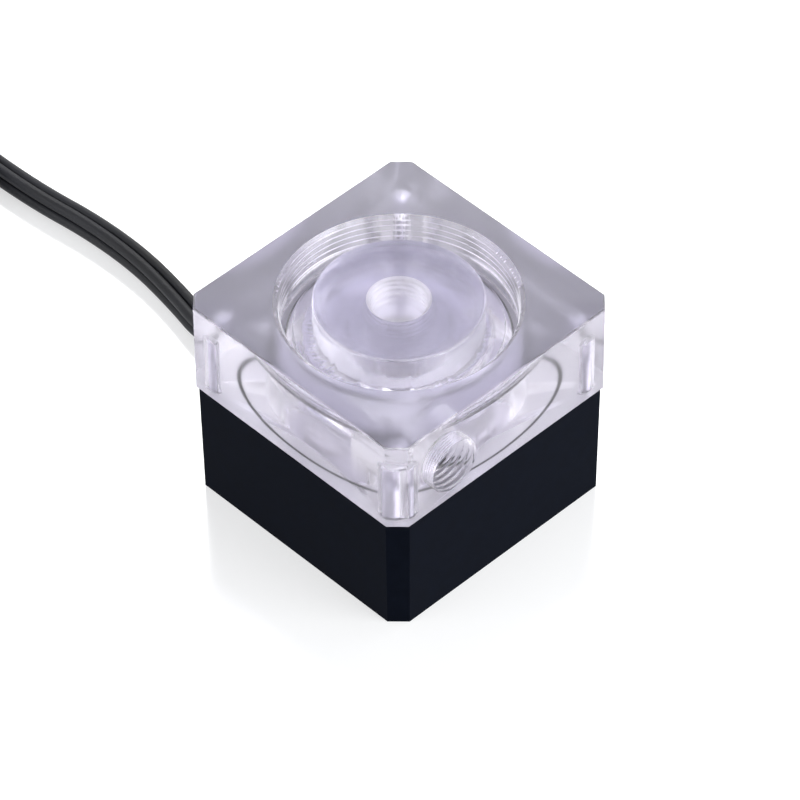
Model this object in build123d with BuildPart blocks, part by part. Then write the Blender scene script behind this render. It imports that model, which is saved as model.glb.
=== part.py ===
from build123d import *
import math
import os

os.makedirs("parts", exist_ok=True)

# Driving dimensions, in millimetres. The origin is the centre of the underside, +Z is up,
# -Y is the face with the outlet port and +Y is the face that the cable leaves.
block_side = 62.0
block_height = 22.4
corner_cut = 3.2
edge_break = 0.35

base_height = 29.0
base_top_inset = 0.275
base_foot_inset = 0.675
wall = 2.6
deck_thickness = 4.0

# Reservoir socket in the top of the clear block, threaded for a 50 mm tube collar.
socket_r = 24.25
socket_mouth_r = 25.6
socket_depth = 8.0
seat_r = 21.45
seat_depth = 6.7
hub_r = 17.65
hub_rise = 0.6
hub_fillet = 1.0

# Ports, drilled for a quarter inch pipe thread.
port_drill_r = 5.9
port_mouth_r = 6.7
inlet_thread_depth = 6.6
inlet_bore_r = 5.2
outlet_x = -14.9
outlet_rise = 8.3
outlet_thread_depth = 9.0
throat_r = 4.4

# Volute chamber, milled into the clear block from below.
impeller_r = 14.0
cutwater_gap = 1.3
chamber_depth = 11.2
shroud_gap = 1.2
ceiling_boss_r = 13.6

# Assembly screws, driven from below into blind holes in the clear block.
screw_inset = 5.8
screw_r = 2.0
screw_reach = 8.0
screw_head_r = 3.5
screw_head_height = 2.6
screw_hole_r = 2.1
screw_hole_depth = 13.6
screw_socket_across = 2.5
screw_socket_depth = 1.5
screw_chamfer = 0.4
head_counterbore_r = 3.9
head_counterbore_depth = 5.0
boss_r = 4.8

# Main seal, squeezed between the housing, the separator and the clear block.
seal_mean_r = 26.0
seal_width = 2.2
seal_height = 1.5
seal_corner_r = 0.6

# Separator, the thin can between the water and the motor.
flange_gap = 0.3
flange_thickness = 1.5
can_r = 10.4
can_wall = 0.7
can_clearance = 0.2
can_board_gap = 1.4
can_floor_thickness = 1.4
shaft_boss_r = 3.0
shaft_boss_height = 3.2
shaft_seat_floor = 0.6

# Rotor, which turns on a fixed ceramic shaft.
shaft_r = 1.5
shaft_tail = 1.85
shaft_chamfer = 0.3
bearing_clearance = 0.03
bush_r = 3.1
bush_rise = 0.8
rotor_tube_r = 4.6
magnet_r = 9.0
magnet_overhang = 2.0
sleeve_thickness = 0.25
washer_thickness = 0.8
end_play = 0.15
disc_gap = 0.6
disc_thickness = 1.4
vane_height = 4.6
vane_count = 7
vane_thickness = 1.1
vane_inner_r = 6.2
vane_sweep = 62.0
vane_start = (0.75, -1.0)
shroud_thickness = 1.0
shroud_edge_r = 0.3
eye_r = 5.6
clip_thickness = 0.6
clip_r = 3.0
clip_groove_r = 1.2
clip_opening = 2.25

# Stator, pressed into the skirt under the housing deck.
stator_r = 22.0
stator_board_gap = 4.4
stator_deck_gap = 3.0
yoke_width = 3.4
pole_count = 6
tooth_width = 4.0
pole_shoe_angle = 44.0
pole_shoe_thickness = 1.6
pole_face_gap = 0.25
skirt_wall = 2.0
bobbin_wall = 0.6
coil_width = 2.2
coil_inner_r = 13.2
coil_outer_r = 17.1
coil_edge_r = 1.1

# Circuit board, thermal pad and bottom cover.
board_margin = 5.225
board_corner_cut = 5.0
board_z = 6.0
board_thickness = 1.6
chip_height = 1.5
controller_y = -15.0
controller_side = 7.0
controller_height = 1.0
sensor_side = 3.0
transistor_side = 5.0
transistor_pitch = 8.0
capacitor_r = 2.5
capacitor_edge_r = 0.5
capacitor_height = 3.9
capacitor_inset = 6.5
pad_length = 24.0
pad_width = 16.0
pad_corner_r = 1.0
cover_recess = 0.5
cover_thickness = 2.0
cover_lip = 1.4
cover_gap = 0.15
cover_screw_x = 14.0
cover_screw_inset = 1.4
cover_boss_r = 2.6
cover_screw_r = 1.25
cover_screw_length = 7.0
cover_screw_head_r = 2.4

# Cable, its grommet, the coil of the length that is put away, and the plug.
cable_r = 3.0
cable_exit_z = 8.5
cable_inner_y = 26.0
grommet_r = 4.6
grommet_flange_r = 5.8
grommet_flange = 1.3
relief_r = 3.9
relief_length = 4.0
lead_count = 4
lead_r = 0.6
lead_pitch = 1.5
lead_end_inset = 2.0
floor_gap = 0.05
tie_thickness = 0.6
tie_width = 3.5
tie_angle = 25.0
tie_clearance = 0.1
cable_lay_z = cable_r + floor_gap
coil_lay_z = cable_lay_z + tie_thickness
coil_turn_r = 30.0
coil_corner_r = 2.1
coil_start = (1.0, 148.0)
coil_rise_angle = -35.0
coil_exit_angle = 60.0
cable_route = [
    (0.0, cable_inner_y, cable_exit_z),
    (0.0, 42.0, cable_exit_z),
    (0.8, 56.0, 4.1),
    (1.3, 70.0, cable_lay_z),
    (3.0, 84.0, cable_lay_z),
    (2.8, 99.0, cable_lay_z),
    (1.2, 114.0, cable_lay_z),
    (0.6, 131.0, cable_lay_z),
    (*coil_start, coil_lay_z),
]
lead_route = [
    (-14.0, 174.0, 9.6),
    (-23.5, 179.0, 8.6),
    (-32.0, 183.3, 5.4),
    (-41.0, 187.8, 4.2),
]
plug_entry = 2.0
plug_length = 15.0
plug_width = 20.5
plug_height = 8.2
plug_edge = 1.2
plug_wall = 1.0
plug_ways = 4
plug_pitch = 4.4
plug_socket_r = 1.5
plug_socket_depth = 9.0
terminal_wall = 0.35
terminal_length = 8.0

# How far a cut runs past the surface that it opens.
overcut = 0.1

# Sides, heights and radii that follow from the sizes above.
base_top_side = block_side - 2 * base_top_inset
base_foot_side = block_side - 2 * base_foot_inset
screw_pitch = block_side - 2 * screw_inset
top_z = base_height + block_height
hub_top_z = top_z + hub_rise
socket_floor_z = top_z - socket_depth
seat_z = top_z - seat_depth
deck_z = base_height - deck_thickness
flange_z = base_height - flange_thickness
seal_outer_r = seal_mean_r + seal_width / 2
flange_r = seal_mean_r - seal_width / 2 - flange_gap
board_top_z = board_z + board_thickness
can_floor_z = board_top_z + can_board_gap
can_floor_top_z = can_floor_z + can_floor_thickness
shaft_foot_z = can_floor_z + shaft_seat_floor
shaft_boss_z = can_floor_top_z + shaft_boss_height
can_bore_r = can_r - can_wall
rotor_z = shaft_boss_z + washer_thickness + end_play
disc_z = base_height + disc_gap
vane_z = disc_z + disc_thickness
shroud_z = vane_z + vane_height
bush_top_z = vane_z + bush_rise
clip_z = bush_top_z + end_play + washer_thickness
shaft_top_z = clip_z + clip_thickness + shaft_tail
chamber_ceiling_z = base_height + chamber_depth
shroud_ceiling_z = shroud_z + shroud_thickness + shroud_gap
outlet_z = base_height + outlet_rise
stator_z = board_top_z + stator_board_gap
stator_top_z = deck_z - stator_deck_gap
stator_height = stator_top_z - stator_z
magnet_top_z = stator_top_z + magnet_overhang
yoke_r = stator_r - yoke_width
shoe_r = can_r + pole_face_gap
cover_top_z = cover_recess + cover_thickness
cavity_side = base_foot_side - 2 * wall
board_side = cavity_side - 2 * board_margin
capacitor_pitch = board_side - 2 * capacitor_inset
lead_end_y = board_side / 2 - lead_end_inset
base_taper = -math.degrees(math.atan((base_top_side - base_foot_side) / 2 / base_height))
rear_face_y = base_foot_side / 2 + cable_exit_z * math.tan(math.radians(-base_taper))
cover_screw_y = cavity_side / 2 - cover_screw_inset
screw_bearing_z = head_counterbore_depth
screw_tip_z = base_height + screw_reach
from_below = (Align.CENTER, Align.CENTER, Align.MIN)
volute_step = (-outlet_x + throat_r - impeller_r - cutwater_gap) / 4
volute_r = impeller_r + cutwater_gap + volute_step / 2
channel_end_y = outlet_x + throat_r / 2


# Clear block: socket, hub, ports and screw holes from outside, volute chamber from below.
with BuildPart() as clear_top:
    with BuildSketch(Plane.XY.offset(base_height)) as block_outline:
        Rectangle(block_side, block_side)
        chamfer(block_outline.vertices(), corner_cut)
    extrude(amount=block_height)
    chamfer(clear_top.faces().sort_by(Axis.Z)[-1].edges(), edge_break)

    # The socket leaves the hub standing, with a stepped floor around its foot.
    with BuildSketch(Plane.XZ) as socket_profile:
        with BuildLine():
            Polyline(
                (hub_r, top_z + overcut),
                (socket_mouth_r, top_z + overcut),
                (socket_mouth_r, top_z),
                (socket_r, top_z - (socket_mouth_r - socket_r)),
                (socket_r, socket_floor_z),
                (seat_r, socket_floor_z),
                (seat_r, seat_z),
                (hub_r, seat_z),
                close=True,
            )
        make_face()
        foot_corner = socket_profile.vertices().sort_by_distance((hub_r, 0, seat_z))[0]
        fillet(foot_corner, hub_fillet)
    revolve(axis=Axis.Z, mode=Mode.SUBTRACT)
    with BuildSketch(Plane.XY.offset(top_z - edge_break - overcut)):
        Circle(hub_r)
    extrude(amount=hub_rise + edge_break + overcut)
    hub_rim = clear_top.edges().filter_by(GeomType.CIRCLE).sort_by(Axis.Z)[-1]
    chamfer(hub_rim, edge_break)

    # Volute: four quarter arcs of growing radius that end in the discharge channel.
    with BuildSketch(Plane.XY.offset(base_height)) as volute:
        with BuildLine():
            shift = volute_step / 2
            centres = [(shift, -shift), (shift, shift), (-shift, shift), (-shift, -shift)]
            for quarter, centre in enumerate(centres):
                CenterArc(centre, volute_r + quarter * volute_step, 180 + 90 * quarter, 90)
            Line(
                (-shift - volute_r - 3 * volute_step, -shift),
                (shift - volute_r, -shift),
            )
        make_face()
        with BuildLine():
            Polyline(
                (outlet_x - throat_r, -shift),
                (outlet_x - throat_r, channel_end_y),
                (outlet_x + throat_r, channel_end_y),
                (outlet_x + throat_r, -shift),
                close=True,
            )
        make_face()
        with Locations((outlet_x, channel_end_y)):
            Circle(throat_r)
    extrude(amount=shroud_ceiling_z - base_height, mode=Mode.SUBTRACT)
    with BuildSketch(Plane.XY.offset(shroud_ceiling_z - overcut)):
        add(volute.sketch_local)
        Circle(ceiling_boss_r, mode=Mode.SUBTRACT)
    extrude(amount=chamber_ceiling_z - shroud_ceiling_z + overcut, mode=Mode.SUBTRACT)

    # Inlet down through the hub, outlet out through the -Y face.
    inlet_mouth = Plane((0, 0, hub_top_z), x_dir=(1, 0, 0), z_dir=(0, 0, 1))
    with Locations(inlet_mouth):
        CounterSinkHole(port_drill_r, port_mouth_r, depth=inlet_thread_depth, counter_sink_angle=90)
        Hole(inlet_bore_r, depth=hub_top_z - shroud_ceiling_z + overcut)
    outlet_mouth = Plane((outlet_x, -block_side / 2, outlet_z), x_dir=(1, 0, 0), z_dir=(0, -1, 0))
    with Locations(outlet_mouth):
        CounterSinkHole(port_drill_r, port_mouth_r, depth=outlet_thread_depth, counter_sink_angle=90)
        Hole(throat_r, depth=block_side / 2 + channel_end_y)

    # Blind holes for the four assembly screws, with drilled points.
    screw_mouth = Plane((0, 0, base_height), x_dir=(1, 0, 0), z_dir=(0, 0, -1))
    with Locations(screw_mouth):
        with GridLocations(screw_pitch, screw_pitch, 2, 2):
            CounterSinkHole(
                screw_hole_r,
                screw_hole_r + edge_break,
                depth=screw_hole_depth,
                counter_sink_angle=90,
            )
clear_top.part.label = "clear_top"
export_step(clear_top.part, "parts/clear_top.step")

# Housing: tapered black shell with a deck on top, open below.
with BuildPart() as base_housing:
    with BuildSketch() as foot_outline:
        Rectangle(base_foot_side, base_foot_side)
        chamfer(foot_outline.vertices(), corner_cut)
    extrude(amount=base_height, taper=base_taper)

    # Motor bay, leaving the corner bosses, the cover's screw bosses and the stator's skirt.
    with BuildSketch() as bay:
        Rectangle(cavity_side, cavity_side)
        with GridLocations(screw_pitch, screw_pitch, 2, 2):
            Circle(boss_r, mode=Mode.SUBTRACT)
        corner_fill = (cavity_side - screw_pitch) / 2
        fill_pitch = cavity_side - corner_fill
        with GridLocations(fill_pitch, fill_pitch, 2, 2):
            Rectangle(corner_fill, corner_fill, mode=Mode.SUBTRACT)
    extrude(amount=deck_z, mode=Mode.SUBTRACT)
    with BuildSketch(Plane.XY.offset(stator_z)):
        Circle(stator_r + skirt_wall)
        Circle(stator_r, mode=Mode.SUBTRACT)
    extrude(amount=deck_z - stator_z)
    with BuildSketch(Plane.XY.offset(stator_top_z)):
        Circle(stator_r + skirt_wall / 2)
        Circle(stator_r - skirt_wall / 2, mode=Mode.SUBTRACT)
    extrude(amount=deck_z - stator_top_z)
    with BuildSketch(Plane.XY.offset(cover_top_z)):
        with GridLocations(2 * cover_screw_x, 2 * cover_screw_y, 2, 2):
            Circle(cover_boss_r)
            with Locations((0, 0)):
                Circle(cover_screw_r, mode=Mode.SUBTRACT)
    extrude(amount=deck_z - cover_top_z)
    with BuildSketch() as cover_seat:
        Rectangle(base_foot_side - 2 * cover_lip, base_foot_side - 2 * cover_lip)
        with GridLocations(screw_pitch, screw_pitch, 2, 2):
            Circle(boss_r + cover_gap, mode=Mode.SUBTRACT)
        seat_fill = (base_foot_side - 2 * cover_lip - screw_pitch) / 2
        seat_pitch = base_foot_side - 2 * cover_lip - seat_fill
        with GridLocations(seat_pitch, seat_pitch, 2, 2):
            Rectangle(seat_fill, seat_fill, mode=Mode.SUBTRACT)
    extrude(amount=cover_top_z, mode=Mode.SUBTRACT)

    # Deck: seat for the separator's flange and the seal, and the opening for the can.
    with BuildSketch(Plane.XY.offset(flange_z)):
        Circle(seal_outer_r)
    extrude(amount=flange_thickness, mode=Mode.SUBTRACT)
    with Locations((0, 0, flange_z)):
        Hole(can_r + can_clearance, depth=deck_thickness)

    # Screw holes with deep counterbores, cover screws and the cable's way out.
    underside = Plane((0, 0, 0), x_dir=(1, 0, 0), z_dir=(0, 0, -1))
    with Locations(underside):
        with GridLocations(screw_pitch, screw_pitch, 2, 2):
            CounterBoreHole(screw_hole_r, head_counterbore_r, head_counterbore_depth, base_height)
    rear_wall = Plane((0, rear_face_y, cable_exit_z), x_dir=(1, 0, 0), z_dir=(0, 1, 0))
    with Locations(rear_wall):
        Hole(grommet_r, depth=2 * wall)
base_housing.part.label = "base_housing"
export_step(base_housing.part, "parts/base_housing.step")

# Main seal: a rubber ring squeezed to a flat-sided section.
with BuildPart() as main_seal:
    with BuildSketch(Plane.XZ):
        with Locations((seal_mean_r, flange_z + seal_height / 2)):
            RectangleRounded(seal_width, seal_height, seal_corner_r)
    revolve(axis=Axis.Z)
main_seal.part.label = "main_seal"
export_step(main_seal.part, "parts/main_seal.step")

# Separator: flange, can and shaft boss in one thin shell.
with BuildPart() as separator_can:
    with BuildSketch(Plane.XZ) as can_profile:
        with BuildLine():
            Polyline(
                (0, can_floor_z),
                (can_r, can_floor_z),
                (can_r, flange_z),
                (flange_r, flange_z),
                (flange_r, base_height),
                (can_bore_r, base_height),
                (can_bore_r, can_floor_top_z),
                (shaft_boss_r, can_floor_top_z),
                (shaft_boss_r, shaft_boss_z),
                (shaft_r, shaft_boss_z),
                (shaft_r, shaft_foot_z),
                (0, shaft_foot_z),
                close=True,
            )
        make_face()
        lower_corner = can_profile.vertices().sort_by_distance((can_r, 0, can_floor_z))[0]
        fillet(lower_corner, can_wall)
    revolve(axis=Axis.Z)
separator_can.part.label = "separator_can"
export_step(separator_can.part, "parts/separator_can.step")

# Fixed shaft with a groove for the clip that keeps the rotor on it.
with BuildPart() as shaft:
    with BuildSketch(Plane.XY.offset(shaft_foot_z)):
        Circle(shaft_r)
    extrude(amount=shaft_top_z - shaft_foot_z)
    chamfer(shaft.edges().filter_by(GeomType.CIRCLE).sort_by(Axis.Z)[-1], shaft_chamfer)
    with BuildSketch(Plane.XY.offset(clip_z)):
        Circle(shaft_r)
        Circle(clip_groove_r, mode=Mode.SUBTRACT)
    extrude(amount=clip_thickness, mode=Mode.SUBTRACT)
shaft.part.label = "shaft"
export_step(shaft.part, "parts/shaft.step")

# Thrust washers below and above the rotor's bush.
washers = {"lower_thrust_washer": shaft_boss_z, "upper_thrust_washer": clip_z - washer_thickness}
for washer_name, washer_z in washers.items():
    with BuildPart() as washer:
        with BuildSketch(Plane.XY.offset(washer_z)):
            Circle(bush_r)
            Circle(shaft_r, mode=Mode.SUBTRACT)
        extrude(amount=washer_thickness)
    washer.part.label = washer_name
    export_step(washer.part, f"parts/{washer_name}.step")

# Retaining clip, an open ring in the shaft's groove.
with BuildPart() as shaft_clip:
    with BuildSketch(Plane.XY.offset(clip_z)):
        Circle(clip_r)
        Circle(clip_groove_r, mode=Mode.SUBTRACT)
        with Locations((0, -clip_r / 2)):
            Rectangle(clip_opening, clip_r, mode=Mode.SUBTRACT)
    extrude(amount=clip_thickness)
shaft_clip.part.label = "shaft_clip"
export_step(shaft_clip.part, "parts/shaft_clip.step")

# Bush, the rotor's running bearing on the shaft.
with BuildPart() as bearing_bush:
    with BuildSketch(Plane.XY.offset(rotor_z)):
        Circle(bush_r)
        Circle(shaft_r + bearing_clearance, mode=Mode.SUBTRACT)
    extrude(amount=bush_top_z - rotor_z)
bearing_bush.part.label = "bearing_bush"
export_step(bearing_bush.part, "parts/bearing_bush.step")

# Rotor magnet and the thin steel sleeve around it.
with BuildPart() as rotor_magnet:
    with BuildSketch(Plane.XY.offset(rotor_z)):
        Circle(magnet_r - sleeve_thickness)
        Circle(rotor_tube_r, mode=Mode.SUBTRACT)
    extrude(amount=magnet_top_z - rotor_z)
rotor_magnet.part.label = "rotor_magnet"
export_step(rotor_magnet.part, "parts/rotor_magnet.step")
with BuildPart() as magnet_sleeve:
    with BuildSketch(Plane.XY.offset(rotor_z)):
        Circle(magnet_r)
        Circle(magnet_r - sleeve_thickness, mode=Mode.SUBTRACT)
    extrude(amount=magnet_top_z - rotor_z)
magnet_sleeve.part.label = "magnet_sleeve"
export_step(magnet_sleeve.part, "parts/magnet_sleeve.step")

# Impeller: tube that carries the magnet, back disc and backward-curved vanes.
with BuildPart() as impeller:
    with BuildSketch(Plane.XZ) as hub_profile:
        with BuildLine():
            Polyline(
                (bush_r, rotor_z),
                (rotor_tube_r, rotor_z),
                (rotor_tube_r, magnet_top_z),
                (magnet_r, magnet_top_z),
                (magnet_r, disc_z),
                (impeller_r, disc_z),
                (impeller_r, vane_z),
                (rotor_tube_r, vane_z),
                (bush_r, bush_top_z),
                close=True,
            )
        make_face()
    revolve(axis=Axis.Z)
    vane_tip = Vector(impeller_r, 0).rotate(Axis.Z, -vane_sweep)
    with BuildSketch(Plane.XY.offset(vane_z)) as vanes:
        with PolarLocations(0, vane_count):
            with BuildLine() as vane_line:
                TangentArc((vane_inner_r, 0), (vane_tip.X, vane_tip.Y), tangent=vane_start)
            trace(vane_line.line, line_width=vane_thickness)
        Circle(impeller_r, mode=Mode.INTERSECT)
    extrude(amount=vane_height)
impeller.part.label = "impeller"
export_step(impeller.part, "parts/impeller.step")

# Front shroud, welded to the vanes, with the eye in its middle.
with BuildPart() as impeller_shroud:
    with BuildSketch(Plane.XY.offset(shroud_z)):
        Circle(impeller_r)
        Circle(eye_r, mode=Mode.SUBTRACT)
    extrude(amount=shroud_thickness)
    fillet(impeller_shroud.edges().filter_by(GeomType.CIRCLE).sort_by(Axis.Z)[-2:], shroud_edge_r)
impeller_shroud.part.label = "impeller_shroud"
export_step(impeller_shroud.part, "parts/impeller_shroud.step")

# Stator core: yoke ring with six teeth and their pole shoes.
tooth_root_r = shoe_r + pole_shoe_thickness / 2
tooth_end_r = yoke_r + yoke_width / 2
slot_angle = 360 / pole_count
shoe_gap = 2 * math.pi * shoe_r * (slot_angle - pole_shoe_angle) / 360
with BuildPart() as stator_core:
    with BuildSketch(Plane.XY.offset(stator_z)):
        Circle(shoe_r + pole_shoe_thickness)
        Circle(shoe_r, mode=Mode.SUBTRACT)
        with PolarLocations(shoe_r, pole_count, start_angle=slot_angle / 2):
            Rectangle(4 * pole_shoe_thickness, shoe_gap, mode=Mode.SUBTRACT)
        with PolarLocations((tooth_root_r + tooth_end_r) / 2, pole_count):
            Rectangle(tooth_end_r - tooth_root_r, tooth_width)
        with BuildSketch(mode=Mode.PRIVATE) as yoke:
            Circle(stator_r)
            Circle(yoke_r, mode=Mode.SUBTRACT)
        add(yoke.sketch)
    extrude(amount=stator_height)
stator_core.part.label = "stator_core"
export_step(stator_core.part, "parts/stator_core.step")

# Bobbins: insulating frames around the teeth, with a leg down to the circuit board.
bobbin_width = tooth_width + 2 * bobbin_wall
bobbin_height = stator_height + 2 * bobbin_wall
bobbin_inner_r = coil_inner_r - bobbin_wall
bobbin_outer_r = coil_outer_r + bobbin_wall
stator_mid_z = stator_z + stator_height / 2
coil_span_r = (coil_inner_r + coil_outer_r) / 2
with BuildPart() as coil_bobbins:
    with PolarLocations(0, pole_count):
        with Locations((coil_span_r, 0, stator_mid_z)):
            Box(bobbin_outer_r - bobbin_inner_r, bobbin_width, bobbin_height)
        for cheek_r in (bobbin_inner_r, coil_outer_r):
            with Locations((cheek_r + bobbin_wall / 2, 0, stator_mid_z)):
                Box(bobbin_wall, bobbin_width + coil_width, bobbin_height + coil_width)
        with Locations((coil_span_r, 0, stator_mid_z)):
            Box(stator_r, tooth_width, stator_height, mode=Mode.SUBTRACT)
        leg_height = stator_z - bobbin_wall - board_top_z
        with Locations((coil_outer_r + bobbin_wall / 2, 0, board_top_z + leg_height / 2)):
            Box(bobbin_wall, tooth_width, leg_height)
coil_bobbins.part.label = "coil_bobbins"
export_step(coil_bobbins.part, "parts/coil_bobbins.step")

# Coils: one winding on each bobbin.
with BuildPart() as stator_coils:
    with BuildPart(mode=Mode.PRIVATE) as winding:
        with BuildSketch(Plane.YZ.offset(coil_inner_r)):
            with Locations((0, stator_mid_z)):
                RectangleRounded(
                    bobbin_width + 2 * coil_width,
                    bobbin_height + 2 * coil_width,
                    coil_edge_r,
                )
                Rectangle(bobbin_width, bobbin_height, mode=Mode.SUBTRACT)
        extrude(amount=coil_outer_r - coil_inner_r)
    with PolarLocations(0, pole_count):
        add(winding.part)
stator_coils.part.label = "stator_coils"
export_step(stator_coils.part, "parts/stator_coils.step")

# Circuit board, square with cut corners that clear the screw bosses.
with BuildPart() as circuit_board:
    with BuildSketch(Plane.XY.offset(board_z)) as board_outline:
        Rectangle(board_side, board_side)
        chamfer(board_outline.vertices(), board_corner_cut)
    extrude(amount=board_thickness)
circuit_board.part.label = "circuit_board"
export_step(circuit_board.part, "parts/circuit_board.step")

# Six power transistors under the board, in two rows on the thermal pad.
with BuildPart() as power_transistors:
    with BuildSketch(Plane.XY.offset(board_z - chip_height)):
        with GridLocations(transistor_pitch, transistor_pitch, 3, 2):
            Rectangle(transistor_side, transistor_side)
    extrude(amount=chip_height)
power_transistors.part.label = "power_transistors"
export_step(power_transistors.part, "parts/power_transistors.step")

# Motor controller and its position sensor on the board's upper side.
with BuildPart() as control_chips:
    with BuildSketch(Plane.XY.offset(board_top_z)):
        with Locations((0, controller_y)):
            Rectangle(controller_side, controller_side)
        with Locations((can_r - sensor_side, 0)):
            Rectangle(sensor_side, sensor_side)
    extrude(amount=controller_height)
control_chips.part.label = "control_chips"
export_step(control_chips.part, "parts/control_chips.step")

# Smoothing capacitors, in the board's corners outside the coils.
with BuildPart() as capacitors:
    with BuildSketch(Plane.XY.offset(board_top_z)):
        with GridLocations(capacitor_pitch, capacitor_pitch, 2, 2):
            Circle(capacitor_r)
    extrude(amount=capacitor_height)
    fillet(capacitors.edges().filter_by(GeomType.CIRCLE).group_by(Axis.Z)[-1], capacitor_edge_r)
capacitors.part.label = "capacitors"
export_step(capacitors.part, "parts/capacitors.step")

# Thermal pad between the transistors and the cover.
with BuildPart() as thermal_pad:
    with BuildSketch(Plane.XY.offset(cover_top_z)):
        RectangleRounded(pad_length, pad_width, pad_corner_r)
    extrude(amount=board_z - chip_height - cover_top_z)
thermal_pad.part.label = "thermal_pad"
export_step(thermal_pad.part, "parts/thermal_pad.step")

# Bottom cover, let into the housing between the screw bosses.
with BuildPart() as bottom_cover:
    cover_side = base_foot_side - 2 * cover_lip - 2 * cover_gap
    with BuildSketch(Plane.XY.offset(cover_recess)) as cover_outline:
        Rectangle(cover_side, cover_side)
        notch_side = cover_side / 2 - screw_pitch / 2
        with GridLocations(cover_side - notch_side, cover_side - notch_side, 2, 2):
            Rectangle(notch_side, notch_side, mode=Mode.SUBTRACT)
        with GridLocations(screw_pitch, screw_pitch, 2, 2):
            Circle(boss_r + 2 * cover_gap, mode=Mode.SUBTRACT)
        with GridLocations(2 * cover_screw_x, 2 * cover_screw_y, 2, 2):
            Circle(cover_screw_r + cover_gap, mode=Mode.SUBTRACT)
    extrude(amount=cover_thickness)
    countersinks = Plane((0, 0, cover_recess), x_dir=(1, 0, 0), z_dir=(0, 0, -1))
    with Locations(countersinks):
        with GridLocations(2 * cover_screw_x, 2 * cover_screw_y, 2, 2):
            CounterSinkHole(
                cover_screw_r + cover_gap,
                cover_screw_head_r,
                depth=cover_thickness,
                counter_sink_angle=90,
            )
bottom_cover.part.label = "bottom_cover"
export_step(bottom_cover.part, "parts/bottom_cover.step")

# Cover screws: countersunk heads flush with the cover.
with BuildPart() as cover_screws:
    head_depth = cover_screw_head_r - cover_screw_r
    with BuildSketch(Plane.XZ) as cover_screw_profile:
        with BuildLine():
            Polyline(
                (0, cover_recess),
                (cover_screw_head_r - cover_gap, cover_recess),
                (cover_screw_r, cover_recess + head_depth - cover_gap),
                (cover_screw_r, cover_recess + cover_screw_length),
                (0, cover_recess + cover_screw_length),
                close=True,
            )
        make_face()
    with BuildPart(mode=Mode.PRIVATE) as cover_screw:
        add(cover_screw_profile.sketch)
        revolve(axis=Axis.Z)
    with GridLocations(2 * cover_screw_x, 2 * cover_screw_y, 2, 2):
        add(cover_screw.part)
cover_screws.part.label = "cover_screws"
export_step(cover_screws.part, "parts/cover_screws.step")

# Assembly screws: socket heads in the housing's counterbores, shanks up into the clear block.
with BuildPart() as assembly_screws:
    with GridLocations(screw_pitch, screw_pitch, 2, 2):
        with Locations((0, 0, screw_bearing_z)):
            Cylinder(screw_r, screw_tip_z - screw_bearing_z, align=from_below)
        with Locations((0, 0, screw_bearing_z - screw_head_height)):
            Cylinder(screw_head_r, screw_head_height, align=from_below)
    chamfer(assembly_screws.edges().filter_by(GeomType.CIRCLE).group_by(Axis.Z)[-1], screw_chamfer)
    chamfer(assembly_screws.edges().filter_by(GeomType.CIRCLE).group_by(Axis.Z)[0], screw_chamfer)
    with BuildSketch(Plane.XY.offset(screw_bearing_z - screw_head_height)):
        with GridLocations(screw_pitch, screw_pitch, 2, 2):
            RegularPolygon(screw_socket_across / 2, 6, major_radius=False)
    extrude(amount=screw_socket_depth, mode=Mode.SUBTRACT)
assembly_screws.part.label = "assembly_screws"
export_step(assembly_screws.part, "parts/assembly_screws.step")

# Grommet: rubber bush clipped in the rear wall, with a short tapered relief outside.
with BuildPart() as cable_grommet:
    inner_wall_y = cavity_side / 2
    outer_flange_y = rear_face_y + grommet_flange_r * math.tan(math.radians(-base_taper))
    relief_end_y = outer_flange_y + grommet_flange + relief_length
    with BuildSketch(Plane.XY.offset(cable_exit_z)) as grommet_profile:
        with BuildLine():
            Polyline(
                (cable_r, inner_wall_y - grommet_flange),
                (grommet_flange_r, inner_wall_y - grommet_flange),
                (grommet_flange_r, inner_wall_y),
                (grommet_r, inner_wall_y),
                (grommet_r, outer_flange_y),
                (grommet_flange_r, outer_flange_y),
                (grommet_flange_r, outer_flange_y + grommet_flange),
                (relief_r, outer_flange_y + grommet_flange),
                (cable_r + tie_thickness, relief_end_y),
                (cable_r, relief_end_y),
                close=True,
            )
        make_face()
    revolve(axis=Axis((0, 0, cable_exit_z), (0, 1, 0)))
cable_grommet.part.label = "cable_grommet"
export_step(cable_grommet.part, "parts/cable_grommet.step")

# Leads: the cable's four conductors, from its cut end to the pads on the board.
with BuildPart() as board_leads:
    for lead in range(lead_count):
        lead_x = (lead - (lead_count - 1) / 2) * lead_pitch
        lead_start = Vector(lead_x, cable_inner_y, cable_exit_z)
        lead_end = Vector(lead_x, lead_end_y, board_top_z + lead_r)
        with BuildLine() as lead_line:
            Line(lead_start, lead_end)
        with BuildSketch(Plane(lead_start, x_dir=(1, 0, 0), z_dir=(0, -1, 0))):
            Circle(lead_r)
        sweep(path=lead_line.line)
board_leads.part.label = "board_leads"
export_step(board_leads.part, "parts/board_leads.step")


def bend_radii(route):
    """Largest arc at each inner point of a route, 0.45 of its shorter run each side."""
    points = [Vector(*point) for point in route]
    radii = []
    for before, corner, after in zip(points, points[1:], points[2:]):
        shorter = min((corner - before).length, (after - corner).length)
        half_turn = math.radians((corner - before).get_angle(after - corner)) / 2
        radii.append(0.45 * shorter / math.tan(half_turn))
    return radii


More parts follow.
